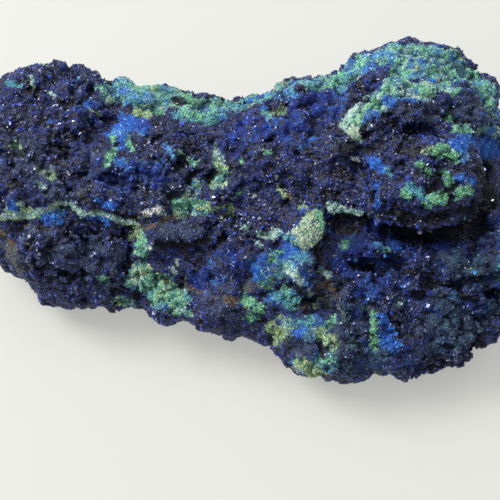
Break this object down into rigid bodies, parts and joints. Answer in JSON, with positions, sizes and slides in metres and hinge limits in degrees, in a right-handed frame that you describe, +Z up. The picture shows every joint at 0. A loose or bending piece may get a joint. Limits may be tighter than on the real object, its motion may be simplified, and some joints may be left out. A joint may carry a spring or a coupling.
{
  "type": "azurite and malachite specimen",
  "caption": "Rough bone-shaped mineral specimen with a nodular dark blue azurite crust and green malachite patches, made to lie on its broad side on a shelf or table.",
  "frame": {"origin": "The middle of the specimen's box in plan, at the level of the surface it rests on.", "axes": "X along the long way of the stone with the knobbed lobe at +X, Y across it away from the viewer of the picture, Z up."},
  "size_m": [0.1876, 0.1198, 0.0657],
  "materials": {
    "azurite_crust": "rough drusy crust with small glassy crystal faces"
  },
  "bodies": {
    "root": {"specimen": "azurite_crust"}
  },
  "joints": []
}
